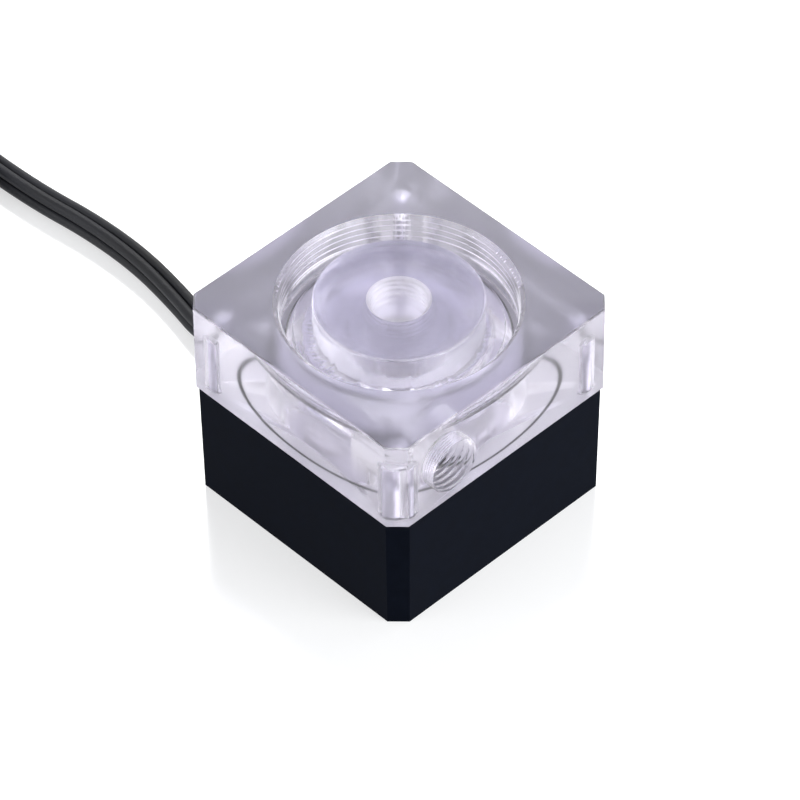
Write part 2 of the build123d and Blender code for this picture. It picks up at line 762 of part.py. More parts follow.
# Cable along its free stretch, and the lead from the coil to the plug: runs joined by arcs.
for cord_name, cord_route in {"power_cable": cable_route, "plug_lead": lead_route}.items():
    cord_radii = bend_radii(cord_route)
    with BuildPart() as cord:
        with BuildLine() as cord_line:
            FilletPolyline(*cord_route, radius=cord_radii)
        with BuildSketch(Plane(cord_line.line @ 0, z_dir=cord_line.line % 0)):
            Circle(cable_r)
        sweep(path=cord_line.line)
    cord.part.label = cord_name
    export_step(cord.part, f"parts/{cord_name}.step")
    cord_length = cord_line.wire().length
    section_volume = math.pi * cable_r**2 * cord_length
    print(cord_name, "length", round(cord_length, 1), "least radius", round(min(cord_radii), 1))
    print(cord_name, "volume over section times length", round(cord.part.volume / section_volume, 4))

# Coil: one turn on the floor, and a second layer on it from the rise to where the lead leaves.
coil_centre = (coil_start[0] - coil_turn_r, coil_start[1])
with BuildPart() as cable_coil:
    coil_axis = Axis((*coil_centre, 0), (0, 0, 1))
    with BuildSketch(Plane(coil_centre, x_dir=(1, 0, 0), z_dir=(0, -1, 0))):
        with Locations((coil_turn_r, coil_lay_z)):
            RectangleRounded(2 * cable_r, 2 * cable_r, coil_corner_r)
    revolve(axis=coil_axis)
    rise_frame = Plane(coil_centre).rotated((0, 0, coil_rise_angle))
    with BuildSketch(Plane(coil_centre, x_dir=rise_frame.x_dir, z_dir=-rise_frame.y_dir)):
        with Locations((coil_turn_r, coil_lay_z + cable_r)):
            RectangleRounded(2 * cable_r, 4 * cable_r, coil_corner_r)
    revolve(axis=coil_axis, revolution_arc=coil_exit_angle - coil_rise_angle)
cable_coil.part.label = "cable_coil"
export_step(cable_coil.part, "parts/cable_coil.step")

# Tie: a strap around both layers of the coil.
with BuildPart() as cable_tie:
    tie_frame = Plane(coil_centre).rotated((0, 0, tie_angle))
    with BuildSketch(Plane(coil_centre, x_dir=tie_frame.x_dir, z_dir=-tie_frame.y_dir)):
        with Locations((coil_turn_r, coil_lay_z + cable_r)):
            RectangleRounded(2 * (cable_r + tie_thickness), 4 * cable_r + 2 * tie_thickness, cable_r)
            RectangleRounded(
                2 * (cable_r + tie_clearance),
                2 * (2 * cable_r + tie_clearance),
                coil_corner_r,
                mode=Mode.SUBTRACT,
            )
    extrude(amount=tie_width / 2, both=True)
cable_tie.part.label = "cable_tie"
export_step(cable_tie.part, "parts/cable_tie.step")

# Plug: four-way housing on the end of the lead, with a socket for each way.
lead_tail = Vector(*lead_route[-1]) - Vector(*lead_route[-2])
plug_axis = Vector(lead_tail.X, lead_tail.Y, 0).normalized()
plug_side = Vector(-plug_axis.Y, plug_axis.X, 0)
plug_back = Vector(*lead_route[-1]) - plug_axis * plug_entry
plug_back_plane = Plane((plug_back.X, plug_back.Y, floor_gap + plug_height / 2), plug_side, plug_axis)
plug_face_plane = plug_back_plane.offset(plug_length)
with BuildPart() as power_plug:
    with BuildSketch(plug_back_plane):
        RectangleRounded(plug_width, plug_height, plug_edge)
    extrude(amount=plug_length)
    with BuildSketch(plug_back_plane):
        Circle(cable_r + plug_wall / 2)
    extrude(amount=plug_entry + plug_wall / 2, mode=Mode.SUBTRACT)
    with BuildSketch(plug_face_plane):
        with GridLocations(plug_pitch, 1, plug_ways, 1):
            Circle(plug_socket_r)
    extrude(amount=-plug_socket_depth, mode=Mode.SUBTRACT)
power_plug.part.label = "power_plug"
export_step(power_plug.part, "parts/power_plug.step")
with BuildPart() as plug_terminals:
    with BuildSketch(plug_face_plane.offset(-plug_socket_depth)):
        with GridLocations(plug_pitch, 1, plug_ways, 1):
            Circle(plug_socket_r)
            Circle(plug_socket_r - terminal_wall, mode=Mode.SUBTRACT)
    extrude(amount=terminal_length)
plug_terminals.part.label = "plug_terminals"
export_step(plug_terminals.part, "parts/plug_terminals.step")
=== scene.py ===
import math

import bmesh
import bpy
import numpy as np
from mathutils import Matrix, Vector


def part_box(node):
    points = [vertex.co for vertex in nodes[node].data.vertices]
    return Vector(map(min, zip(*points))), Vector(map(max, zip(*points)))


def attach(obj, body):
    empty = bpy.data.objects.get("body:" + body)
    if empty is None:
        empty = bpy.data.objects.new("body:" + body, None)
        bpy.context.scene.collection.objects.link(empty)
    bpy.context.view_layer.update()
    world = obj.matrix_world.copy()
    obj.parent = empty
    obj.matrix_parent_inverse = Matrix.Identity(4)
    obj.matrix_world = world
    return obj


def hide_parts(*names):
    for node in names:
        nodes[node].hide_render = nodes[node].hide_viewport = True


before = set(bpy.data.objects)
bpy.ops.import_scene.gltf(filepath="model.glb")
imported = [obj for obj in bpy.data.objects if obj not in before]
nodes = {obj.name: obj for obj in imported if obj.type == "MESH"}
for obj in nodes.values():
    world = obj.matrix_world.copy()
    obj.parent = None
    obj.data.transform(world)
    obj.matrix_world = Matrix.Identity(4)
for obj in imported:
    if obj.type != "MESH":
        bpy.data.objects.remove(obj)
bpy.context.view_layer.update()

# Camera: a long lens that looks down on the front corner from 45 degrees, rolled by half a
# degree, with the shift that puts its axis a little below the middle of the picture.
camera_azimuth = math.radians(-44.01)
camera_height = math.radians(45.43)
camera_roll = math.radians(-0.54)
camera_distance = 1.1913
camera_target = Vector((0, 0, 0.0217))
camera_data = bpy.data.cameras.new("camera")
camera_data.sensor_width = 36
camera_data.lens = 260.8
camera_data.shift_y = 0.0054
camera = bpy.data.objects.new("camera", camera_data)
bpy.context.scene.collection.objects.link(camera)
looking_back = Vector(
    (
        math.sin(camera_azimuth) * math.cos(camera_height),
        -math.cos(camera_azimuth) * math.cos(camera_height),
        math.sin(camera_height),
    )
)
camera.matrix_world = (
    Matrix.Translation(camera_target + camera_distance * looking_back)
    @ looking_back.to_track_quat("Z", "Y").to_matrix().to_4x4()
    @ Matrix.Rotation(camera_roll, 4, "Z")
)
bpy.context.scene.camera = camera

# Cable: four black wires laid side by side in a bundle 6 mm thick. It leaves the rear wall,
# drops to the floor, and its put-away length lies in a tied coil beside the plug.
cable_r = 0.003
wire_count = 4
wire_r = cable_r / (1 + math.sqrt(2))
wire_ring_r = cable_r - wire_r
wire_twist = 2 * math.pi / 1.8
wire_lean = math.radians(-46)
free_route = np.array(
    [
        (0.0, 0.026, 0.0085),
        (0.0, 0.042, 0.0085),
        (-0.0020, 0.056, 0.0036),
        (0.0014, 0.070, 0.00305),
        (0.0034, 0.084, 0.00305),
        (0.0032, 0.099, 0.00305),
        (0.0012, 0.114, 0.00305),
        (0.0006, 0.131, 0.00305),
        (0.001, 0.148, 0.00365),
    ]
)
lead_route = np.array(
    [
        (-0.014, 0.174, 0.0096),
        (-0.0235, 0.179, 0.0093),
        (-0.032, 0.1833, 0.0062),
        (-0.041, 0.1878, 0.0042),
    ]
)
turn_points = 16
turn_r = 0.030
turn_centre = (free_route[-1, 0] - turn_r, free_route[-1, 1])
coil_step = 2 * math.pi / turn_points
coil_angle = coil_step * np.arange(1, turn_points + 3)
layer_rise_start = math.radians(285)
layer_rise_end = math.radians(335)
rise = np.clip((coil_angle - layer_rise_start) / (layer_rise_end - layer_rise_start), 0, 1)
coil_point_r = turn_r / math.cos(coil_step / 2)
coil_route = np.stack(
    [
        turn_centre[0] + coil_point_r * np.cos(coil_angle),
        turn_centre[1] + coil_point_r * np.sin(coil_angle),
        free_route[-1, 2] + 2 * cable_r * rise * rise * (3 - 2 * rise),
    ],
    axis=1,
)
cable_route = np.concatenate([free_route, coil_route, lead_route])
cable_curve = bpy.data.curves.new("cable_line", "CURVE")
cable_curve.dimensions = "3D"
cable_curve.resolution_u = 24
cable_spline = cable_curve.splines.new("NURBS")
cable_spline.points.add(len(cable_route) - 1)
cable_spline.points.foreach_set("co", np.c_[cable_route, np.ones(len(cable_route))].ravel())
cable_spline.order_u = 3
cable_spline.use_endpoint_u = True
cable_line = bpy.data.objects.new("cable_line", cable_curve)
bpy.context.scene.collection.objects.link(cable_line)
line_mesh = bpy.data.meshes.new_from_object(cable_line)
line_points = np.empty(3 * len(line_mesh.vertices))
line_mesh.vertices.foreach_get("co", line_points)
line_points = line_points.reshape(-1, 3)
bpy.data.objects.remove(cable_line)
line_points = line_points[np.r_[True, np.linalg.norm(np.diff(line_points, axis=0), axis=1) > 1e-6]]


def grid_piece(name, points, round_u=False, round_v=False, smooth=True):
    """A mesh over a grid of points, four corners to a face. Rows run along u and columns along
    v, and round_u or round_v joins the last row or column to the first."""
    rows, columns = points.shape[:2]
    index = np.arange(rows * columns).reshape(rows, columns)
    if round_u:
        index = np.concatenate([index, index[:1]])
    if round_v:
        index = np.concatenate([index, index[:, :1]], axis=1)
    faces = np.stack([index[:-1, :-1], index[1:, :-1], index[1:, 1:], index[:-1, 1:]], axis=-1)
    mesh = bpy.data.meshes.new(name)
    mesh.from_pydata(points.reshape(-1, 3), [], faces.reshape(-1, 4).tolist())
    mesh.polygons.foreach_set("use_smooth", np.full(len(mesh.polygons), smooth))
    piece = bpy.data.objects.new(name, mesh)
    bpy.context.scene.collection.objects.link(piece)
    return piece


def path_frames(line):
    """Two unit vectors across a line at each of its points. The first starts level, and each next
    one is the last with its share along the line taken out, so the pair doesn't spin."""
    along = np.gradient(line, axis=0)
    along /= np.linalg.norm(along, axis=1, keepdims=True)
    across = np.empty_like(along)
    last = np.cross(along[0], (0, 0, 1))
    for step, direction in enumerate(along):
        last = last - direction * (last @ direction)
        last = last / np.linalg.norm(last)
        across[step] = last
    return across, np.cross(along, across)


def close_ends(piece):
    """Fills the piece's open rims with flat ends and turns every face outwards."""
    shell = bmesh.new()
    shell.from_mesh(piece.data)
    bmesh.ops.holes_fill(shell, edges=[edge for edge in shell.edges if edge.is_boundary])
    bmesh.ops.recalc_face_normals(shell, faces=shell.faces)
    shell.to_mesh(piece.data)
    shell.free()


line_side, line_up = path_frames(line_points)
line_reach = np.r_[0, np.cumsum(np.linalg.norm(np.diff(line_points, axis=0), axis=1))]
wire_place = np.arange(wire_count) * 2 * math.pi / wire_count + wire_lean
wire_turn = wire_place[:, None] + wire_twist * line_reach[None, :]
wire_centre = line_points[None] + wire_ring_r * (
    np.cos(wire_turn)[..., None] * line_side[None] + np.sin(wire_turn)[..., None] * line_up[None]
)
wire_angle = np.linspace(0, 2 * math.pi, 20, endpoint=False)
streak_length = 0.012
wires = []
for wire in range(wire_count):
    round_wire = wire_centre[wire][:, None] + wire_r * (
        np.cos(wire_angle)[None, :, None] * line_side[:, None]
        + np.sin(wire_angle)[None, :, None] * line_up[:, None]
    )
    wires.append(grid_piece(f"wire_{wire}", round_wire, round_v=True))
    run = np.empty(round_wire.shape, np.float32)
    run[..., 0] = np.cos(wire_angle) + 3 * wire
    run[..., 1] = np.sin(wire_angle)
    run[..., 2] = line_reach[:, None] / streak_length
    run_map = wires[-1].data.attributes.new("wire_run", "FLOAT_VECTOR", "POINT")
    run_map.data.foreach_set("vector", run.ravel())
    close_ends(wires[-1])


def join_pieces(name, pieces):
    """Joins like pieces into the first of them, which takes the name."""
    pieces[0].name = name
    with bpy.context.temp_override(active_object=pieces[0], selected_editable_objects=pieces):
        bpy.ops.object.join()
    return pieces[0]


cable = join_pieces("cable", wires)


def grained(name, colour, roughness, metallic=0.0, grain=2500.0, depth=0.04, mottle=0.12):
    """A finish in one colour: slow object noise mottles its colour and roughness, and fine
    noise, grain cycles to the metre, gives its surface a bump of the given strength."""
    material = bpy.data.materials.new(name)
    material.use_nodes = True
    tree = material.node_tree
    shader = tree.nodes["Principled BSDF"]
    shader.inputs["Metallic"].default_value = metallic
    place = tree.nodes.new("ShaderNodeTexCoord")
    slow = tree.nodes.new("ShaderNodeTexNoise")
    slow.inputs["Scale"].default_value = grain / 20
    slow.inputs["Detail"].default_value = 4
    fine = tree.nodes.new("ShaderNodeTexNoise")
    fine.inputs["Scale"].default_value = grain
    fine.inputs["Detail"].default_value = 2
    shade = tree.nodes.new("ShaderNodeValToRGB")
    shade.color_ramp.elements[0].position = 0.3
    shade.color_ramp.elements[1].position = 0.7
    shade.color_ramp.elements[0].color = (*(channel * (1 - mottle) for channel in colour), 1)
    shade.color_ramp.elements[1].color = (*(channel * (1 + mottle) for channel in colour), 1)
    dull = tree.nodes.new("ShaderNodeMapRange")
    dull.inputs["To Min"].default_value = roughness * 0.85
    dull.inputs["To Max"].default_value = min(1, roughness * 1.15)
    bump = tree.nodes.new("ShaderNodeBump")
    bump.inputs["Strength"].default_value = depth
    bump.inputs["Distance"].default_value = 0.0005
    for source, target in (
        (place.outputs["Object"], slow.inputs["Vector"]),
        (place.outputs["Object"], fine.inputs["Vector"]),
        (slow.outputs["Fac"], shade.inputs["Fac"]),
        (shade.outputs["Color"], shader.inputs["Base Color"]),
        (slow.outputs["Fac"], dull.inputs["Value"]),
        (dull.outputs["Result"], shader.inputs["Roughness"]),
        (fine.outputs["Fac"], bump.inputs["Height"]),
        (bump.outputs["Normal"], shader.inputs["Normal"]),
    ):
        tree.links.new(source, target)
    return material


def dress(material, *names):
    """Puts a finish in the material slots of CAD nodes."""
    for name in names:
        for material_slot in nodes[name].material_slots:
            material_slot.material = material


wire_black = grained("wire_black", (0.012, 0.013, 0.018), 0.45, grain=6, depth=0.25, mottle=0.5)
wire_black.node_tree.nodes["Principled BSDF"].inputs["Specular IOR Level"].default_value = 0.3
run_place = wire_black.node_tree.nodes.new("ShaderNodeAttribute")
run_place.attribute_name = "wire_run"
for texture in wire_black.node_tree.nodes:
    if texture.bl_idname == "ShaderNodeTexNoise":
        wire_black.node_tree.links.new(run_place.outputs["Vector"], texture.inputs["Vector"])
cable.data.materials.clear()
cable.data.materials.append(wire_black)
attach(cable, "housing")
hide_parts("power_cable", "cable_coil", "plug_lead")
dress(grained("plug_nylon", (0.03, 0.03, 0.032), 0.45), "power_plug")
dress(grained("tie_nylon", (0.025, 0.025, 0.027), 0.5), "cable_tie")
dress(grained("terminal_brass", (0.75, 0.55, 0.25), 0.3, metallic=1.0), "plug_terminals")
dress(grained("grommet_rubber", (0.02, 0.02, 0.021), 0.7, depth=0.08), "cable_grommet")


# Studio: a pale glossy table that runs to white, a plain white surround, and four soft lamps.
def seen_directly(tree):
    """A socket that is 1 for what the camera sees, straight, mirrored or through the clear block,
    and 0 for light that falls on the pieces."""
    path = tree.nodes.new("ShaderNodeLightPath")
    seen = path.outputs["Is Camera Ray"]
    for kind in ("Is Glossy Ray", "Is Transmission Ray"):
        either = tree.nodes.new("ShaderNodeMath")
        either.operation = "MAXIMUM"
        tree.links.new(seen, either.inputs[0])
        tree.links.new(path.outputs[kind], either.inputs[1])
        seen = either.outputs[0]
    return seen


table_size = 3.0
table_half = np.array([-table_size, table_size])
table_points = np.stack(np.meshgrid(table_half, table_half, indexing="ij") + [np.zeros((2, 2))], -1)
table = grid_piece("table", table_points, smooth=False)
table_material = bpy.data.materials.new("table_white")
table_material.use_nodes = True
tree = table_material.node_tree
shader = tree.nodes["Principled BSDF"]
shader.inputs["Base Color"].default_value = (0.55, 0.56, 0.57, 1)
shader.inputs["Roughness"].default_value = 0.6
shader.inputs["Specular IOR Level"].default_value = 0.0
lift = tree.nodes.new("ShaderNodeMath")
lift.operation = "MULTIPLY"
lift.inputs[1].default_value = 0.72
tree.links.new(seen_directly(tree), lift.inputs[0])
shader.inputs["Emission Color"].default_value = (1, 1, 1, 1)
tree.links.new(lift.outputs[0], shader.inputs["Emission Strength"])
table.data.materials.append(table_material)
sheen = tree.nodes.new("ShaderNodeBsdfGlossy")
sheen.inputs["Roughness"].default_value = 0.15
polish = tree.nodes.new("ShaderNodeMixShader")
polish.inputs["Fac"].default_value = 0.16
tree.links.new(shader.outputs["BSDF"], polish.inputs[1])
tree.links.new(sheen.outputs["BSDF"], polish.inputs[2])
tree.links.new(polish.outputs["Shader"], tree.nodes["Material Output"].inputs["Surface"])

world = bpy.data.worlds.new("surround")
bpy.context.scene.world = world
world.use_nodes = True
tree = world.node_tree
lighting = tree.nodes["Background"]
lighting.inputs["Color"].default_value = (0.97, 0.98, 1.0, 1)
lighting.inputs["Strength"].default_value = 0.42
white = tree.nodes.new("ShaderNodeBackground")
white.inputs["Color"].default_value = (1, 1, 1, 1)
white.inputs["Strength"].default_value = 1.0
choose = tree.nodes.new("ShaderNodeMixShader")
tree.links.new(seen_directly(tree), choose.inputs["Fac"])
tree.links.new(lighting.outputs[0], choose.inputs[1])
tree.links.new(white.outputs[0], choose.inputs[2])
tree.links.new(choose.outputs[0], tree.nodes["World Output"].inputs["Surface"])

lamps = {
    "back_lamp": ((0.52, 0.54, 0.6), 0.34, 1.8),
    "right_lamp": ((0.72, -0.25, 0.72), 0.45, 1.1),
    "side_lamp": ((0.35, -0.85, 0.40), 0.75, 8.5),
    "left_lamp": ((-0.86, 0.31, 0.40), 0.75, 3.4),
}
for lamp_name, (lamp_place, lamp_size, lamp_power) in lamps.items():
    lamp_data = bpy.data.lights.new(lamp_name, "AREA")
    lamp_data.size = lamp_size
    lamp_data.energy = lamp_power
    lamp = bpy.data.objects.new(lamp_name, lamp_data)
    bpy.context.scene.collection.objects.link(lamp)
    lamp.location = lamp_place
    lamp.rotation_euler = Vector(lamp_place).to_track_quat("Z", "Y").to_euler()

# Motor housing: machined aluminium, anodised satin black, with the bottom cover let into it.
anodised = grained("anodised_black", (0.004, 0.0055, 0.0105), 0.42, grain=6000, depth=0.03)
anodised.node_tree.nodes["Principled BSDF"].inputs["Specular IOR Level"].default_value = 0.008
dress(anodised, "base_housing", "bottom_cover")
dress(grained("screw_steel", (0.55, 0.55, 0.57), 0.3, metallic=1.0), "cover_screws")

# Clear top: milled from cast acrylic, its sides polished, its top left satin and its hub turned.
# Its copy of the CAD block gets the threads of the socket and of both ports, and a narrower
# countersink at the outlet.
block_clearance = 0.00006
socket_thread = {"root": 0.0249, "crest": 0.0243, "inner": 0.0220, "pitch": 0.0015}
port_thread = {"root": 0.0063, "crest": 0.0058, "inner": 0.0040, "pitch": 0.001337}
socket_thread_length = 0.0068
inlet_thread_length = 0.0066
outlet_thread_length = 0.0090
cutter_overshoot = 0.0002
block_low, block_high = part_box("clear_top")
top_z = 0.0514
hub_top_z = block_high.z
outlet_place = (-0.0149, -0.0312, 0.0373)
port_drill_r = 0.0059
mouth_r = 0.0069
mouth_depth = 0.0007
mouth_cut = 0.75
screw_pitch = 0.0504
hole_end_z = top_z - 0.0088
ring_scale = 1600


def thread_cutter(name, root, crest, inner, pitch, start, direction, length):
    """A ring that leaves an internal thread where it is cut away. Its outer radius swings
    between crest and root once per pitch along it, one turn later all the way round, and runs
    out at its far end. Its inner radius stays in the open hole."""
    around = np.linspace(0, 2 * math.pi, 96, endpoint=False)
    along = np.linspace(0, length, int(length / pitch * 10) + 1)
    phase = (along[:, None] / pitch - around[None] / (2 * math.pi)) % 1
    ridge = np.clip(1.5 * np.abs(2 * phase - 1) - 0.25, 0, 1)
    run_out = np.clip((length - along) / pitch, 0, 1)[:, None]
    outer = crest + (root - crest) * ridge * run_out
    radius = np.concatenate([outer, np.full_like(outer, inner)])
    reach = np.concatenate([along, along[::-1]])
    axis = np.array(direction, float)
    side = np.cross(axis, (0, 0, 1)) if abs(axis[2]) < 0.5 else np.array((1.0, 0, 0))
    other = np.cross(axis, side)
    spoke = np.cos(around)[:, None] * side + np.sin(around)[:, None] * other
    points = np.array(start) + reach[:, None, None] * axis + radius[..., None] * spoke[None]
    cutter = grid_piece(name, points, round_u=True, round_v=True)
    close_ends(cutter)
    return cutter


block_mesh = nodes["clear_top"].data.copy()
clear_block = bpy.data.objects.new("clear_block", block_mesh)
bpy.context.scene.collection.objects.link(clear_block)
shell = bmesh.new()
shell.from_mesh(block_mesh)
bmesh.ops.remove_doubles(shell, verts=shell.verts, dist=1e-6)
shell.to_mesh(block_mesh)
shell.free()
block_points = np.empty(3 * len(block_mesh.vertices))
block_mesh.vertices.foreach_get("co", block_points)
block_points = block_points.reshape(-1, 3)
block_points[:, 2] = np.maximum(block_points[:, 2], block_low.z + block_clearance)
outlet_spoke = block_points[:, [0, 2]] - (outlet_place[0], outlet_place[2])
mouth_reach = np.hypot(*outlet_spoke.T)
in_mouth = (block_points[:, 1] < block_low.y + mouth_depth) & (mouth_reach < mouth_r)
slim = (1 - mouth_cut) + mouth_cut * port_drill_r / mouth_reach[in_mouth]
block_points[in_mouth, 0] = outlet_place[0] + outlet_spoke[in_mouth, 0] * slim
block_points[in_mouth, 2] = outlet_place[2] + outlet_spoke[in_mouth, 1] * slim
block_mesh.vertices.foreach_set("co", block_points.ravel())
cutters = [
    thread_cutter(
        "socket_cutter",
        **socket_thread,
        start=(0, 0, top_z + cutter_overshoot),
        direction=(0, 0, -1),
        length=socket_thread_length,
    ),
    thread_cutter(
        "inlet_cutter",
        **port_thread,
        start=(0, 0, hub_top_z + cutter_overshoot),
        direction=(0, 0, -1),
        length=inlet_thread_length,
    ),
    thread_cutter(
        "outlet_cutter",
        **port_thread,
        start=outlet_place,
        direction=(0, 1, 0),
        length=outlet_thread_length,
    ),
]
for cutter in cutters:
    cut = clear_block.modifiers.new(cutter.name, "BOOLEAN")
    cut.operation = "DIFFERENCE"
    cut.solver = "EXACT"
    cut.object = cutter
bpy.context.view_layer.update()
threaded = bpy.data.meshes.new_from_object(
    clear_block.evaluated_get(bpy.context.evaluated_depsgraph_get())
)
clear_block.modifiers.clear()
clear_block.data = threaded
for cutter in cutters:
    bpy.data.objects.remove(cutter)


def acrylic(name, roughness, clear, tint, ring_depth=0.0):
    """Clear acrylic: how clear it is goes in the transmission weight, and what is left of it is
    the pale scatter of the surface. Slow noise varies the roughness, as on hand-finished work. A
    turned face also has the lathe tool's rings about the upright axis, ring_depth high."""
    material = bpy.data.materials.new(name)
    material.use_nodes = True
    tree = material.node_tree
    shader = tree.nodes["Principled BSDF"]
    shader.inputs["Base Color"].default_value = (*tint, 1)
    shader.inputs["IOR"].default_value = 1.49
    shader.inputs["Transmission Weight"].default_value = clear
    place = tree.nodes.new("ShaderNodeTexCoord")
    slow = tree.nodes.new("ShaderNodeTexNoise")
    slow.inputs["Scale"].default_value = 60
    dull = tree.nodes.new("ShaderNodeMapRange")
    dull.inputs["To Min"].default_value = roughness * 0.8
    dull.inputs["To Max"].default_value = roughness * 1.2
    tree.links.new(place.outputs["Object"], slow.inputs["Vector"])
    tree.links.new(slow.outputs["Fac"], dull.inputs["Value"])
    tree.links.new(dull.outputs["Result"], shader.inputs["Roughness"])
    if ring_depth:
        rings = tree.nodes.new("ShaderNodeTexWave")
        rings.wave_type = "RINGS"
        rings.rings_direction = "Z"
        rings.inputs["Scale"].default_value = ring_scale
        bump = tree.nodes.new("ShaderNodeBump")
        bump.inputs["Distance"].default_value = ring_depth
        tree.links.new(place.outputs["Object"], rings.inputs["Vector"])
        tree.links.new(rings.outputs["Fac"], bump.inputs["Height"])
        tree.links.new(bump.outputs["Normal"], shader.inputs["Normal"])
    return material


# The satin and hub tints are darker than the rest: painted shade on the faces that look up.
finishes = {
    "polished": acrylic("acrylic_polished", 0.15, 1.0, (0.93, 0.90, 1.0)),
    "satin": acrylic("acrylic_satin_painted_shade", 0.35, 0.97, (0.61, 0.59, 0.79)),
    "turned": acrylic("acrylic_turned", 0.24, 0.99, (0.90, 0.88, 1.0)),
    "drilled": acrylic("acrylic_drilled", 0.40, 0.85, (0.97, 0.95, 1.0)),
    "threaded": acrylic("acrylic_threaded", 0.22, 0.96, (0.95, 0.93, 1.0)),
    "underside": acrylic("acrylic_underside", 0.38, 0.68, (0.95, 0.925, 1.0)),
    "chamber": acrylic("acrylic_chamber", 0.33, 0.94, (0.93, 0.905, 1.0)),
    "bored": acrylic("acrylic_bored", 0.5, 0.15, (1.0, 0.99, 1.0)),
    "hub": acrylic("acrylic_hub_painted_shade", 0.20, 0.97, (0.61, 0.59, 0.79), ring_depth=0.00005),
}
threaded.materials.clear()
for finish in finishes.values():
    threaded.materials.append(finish)
face_count = len(threaded.polygons)
face_normal = np.empty(3 * face_count)
face_centre = np.empty(3 * face_count)
threaded.polygons.foreach_get("normal", face_normal)
threaded.polygons.foreach_get("center", face_centre)
face_normal = face_normal.reshape(-1, 3)
face_centre = face_centre.reshape(-1, 3)
facing_up = face_normal[:, 2]
face_y = face_centre[:, 1]
face_z = face_centre[:, 2]
# A face is sorted by where its middle lies. It takes the first zone that fits, in the order of
# the list of zones, and what fits none is turned.
side_margin = 0.00025
corner_margin = 0.0033
under_margin = 0.0002
top_margin = 0.0004
hub_top_r = 0.019
port_zone_r = 0.0071
inlet_foot_z = block_low.z + 0.0088
outlet_thread_end_y = -0.019
outlet_bore_start_y = -0.0224
outlet_bore_end_y = -0.0125
screw_tip_r = 0.0026
screw_tip_z = hole_end_z - 0.0016
socket_thread_r = socket_thread["crest"] - 0.0002
socket_thread_z = top_z - 0.0075
chamber_top_z = block_low.z + 0.0092
on_side = np.abs(face_centre[:, :2]).max(axis=1) > block_high.x - side_margin
on_corner = np.abs(face_centre[:, :2]).sum(axis=1) > 2 * block_high.x - corner_margin
polished = (np.abs(facing_up) < 0.8) & (on_side | on_corner)
on_top = (facing_up > 0.9) & (face_z > top_z - top_margin)
from_axis = np.linalg.norm(face_centre[:, :2], axis=1)
from_outlet = np.hypot(face_centre[:, 0] - outlet_place[0], face_z - outlet_place[2])
from_screw = np.linalg.norm(np.abs(face_centre[:, :2]) - screw_pitch / 2, axis=1)
in_inlet = (from_axis < port_zone_r) & (face_z > inlet_foot_z)
in_outlet = (from_outlet < port_zone_r) & (face_y < outlet_thread_end_y)
in_bore = (
    (from_outlet < port_zone_r) & (face_y > outlet_bore_start_y) & (face_y < outlet_bore_end_y)
)
at_screw_tip = (from_screw < screw_tip_r) & (face_z > screw_tip_z)
in_socket_thread = (from_axis > socket_thread_r) & (face_z > socket_thread_z)
zones = {
    "polished": polished,
    "hub": on_top & (from_axis < hub_top_r),
    "satin": on_top,
    "drilled": (in_inlet | at_screw_tip) & ~on_top & ~polished,
    "bored": in_bore,
    "underside": (facing_up < -0.9) & (face_z < block_low.z + under_margin),
    "threaded": in_socket_thread | in_outlet,
    "chamber": face_z < chamber_top_z,
}
finish_order = list(finishes)
face_finish = np.select(
    list(zones.values()),
    [finish_order.index(name) for name in zones],
    finish_order.index("turned"),
)
threaded.polygons.foreach_set("material_index", face_finish.astype(np.int32))
threaded.polygons.foreach_set("use_smooth", np.ones(face_count, bool))
threaded.set_sharp_from_angle(angle=math.radians(32))
flat_shade = clear_block.modifiers.new("flat_shade", "WEIGHTED_NORMAL")
flat_shade.keep_sharp = True
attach(clear_block, "housing")
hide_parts("clear_top")

# Main seal: a black rubber ring, squeezed flat against the clear block, which shows it as a
# thin dark circle.
seal_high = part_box("main_seal")[1]
seal_angle = np.linspace(0, 2 * math.pi, 160, endpoint=False)
seal_section = np.array(
    [
        (-0.0006, 0.0),
        (-0.00045, 0.00008),
        (0.00045, 0.00008),
        (0.0006, 0.0),
        (0.0010, -0.0004),
        (0.0011, -0.0008),
        (0.0010, -0.0012),
        (0.0006, -0.0015),
        (-0.0006, -0.0015),
        (-0.0010, -0.0012),
        (-0.0011, -0.0008),
        (-0.0010, -0.0004),
    ]
)
seal_half_width, seal_rise = seal_section.max(axis=0)
seal_radius = seal_high.x - seal_half_width + seal_section[:, 0]
seal_top_z = seal_high.z + 2 * block_clearance
seal_points = np.stack(
    [
        seal_radius[None] * np.cos(seal_angle)[:, None],
        seal_radius[None] * np.sin(seal_angle)[:, None],
        np.broadcast_to(
            seal_top_z - seal_rise + seal_section[:, 1], (len(seal_angle), len(seal_section))
        ),
    ],
    axis=-1,
)
seal_ring = grid_piece("seal_ring", seal_points, round_u=True, round_v=True)
close_ends(seal_ring)
seal_ring.data.materials.append(grained("seal_rubber", (0.015, 0.015, 0.017), 0.6))
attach(seal_ring, "housing")
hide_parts("main_seal")

# Assembly screws: four stainless M4 socket screws, driven from under the housing up into the
# block's blind holes. The thread is rolled on the end of the shank and fades out below.
screw_low, screw_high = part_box("assembly_screws")
shank_r = 0.0020
shank_root_r = 0.00168
shank_pitch = 0.0007
shank_thread = 0.0126
head_r = 0.0035
head_height = 0.0026
key_across = 0.0025
key_depth = 0.0015
head_edge = 0.0004
screw_angle = np.linspace(0, 2 * math.pi, 36, endpoint=False)
key_r = key_across / 2 / np.cos((screw_angle + math.pi / 6) % (math.pi / 3) - math.pi / 6)
from_tip = np.linspace(0, shank_thread, int(shank_thread / shank_pitch * 8))
screw_phase = (from_tip[:, None] / shank_pitch - screw_angle[None] / (2 * math.pi)) % 1
screw_ridge = np.clip(1.6 * (1 - np.abs(2 * screw_phase - 1)) - 0.2, 0, 1)
lead_in = np.clip(from_tip / shank_pitch, 0, 1)[:, None]
fade_out = np.clip((from_tip - shank_thread) / shank_pitch + 1, 0, 1)[:, None]
